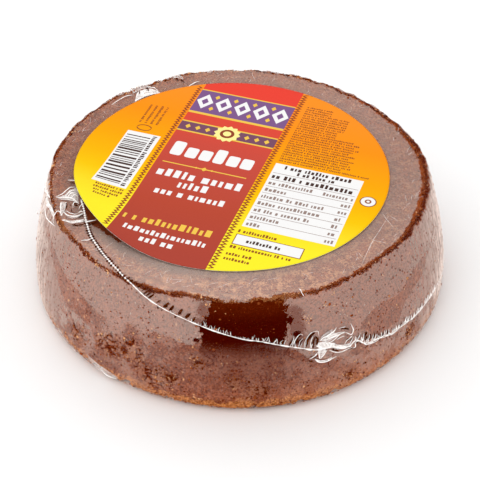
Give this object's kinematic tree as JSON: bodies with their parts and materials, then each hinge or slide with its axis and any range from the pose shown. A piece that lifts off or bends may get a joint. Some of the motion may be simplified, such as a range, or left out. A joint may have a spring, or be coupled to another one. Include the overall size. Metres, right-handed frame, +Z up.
{
  "type": "panela disc",
  "caption": "Round cast disc of unrefined cane sugar, sealed in clear shrink film, with a paper label on its top face.",
  "frame": {"origin": "middle of the flat base", "axes": "+Z up through the label face, +Y away from the side where the film's seam shows, +X to the right of it"},
  "size_m": [0.1171, 0.1181, 0.037],
  "materials": {
    "wrapped_sugar": "brown cast cane sugar under glossy clear shrink film",
    "label_paper": "smooth printed paper in orange, yellow and red fields"
  },
  "bodies": {
    "root": {"wrapped_sugar_disc": "wrapped_sugar", "label": "label_paper"}
  },
  "joints": []
}
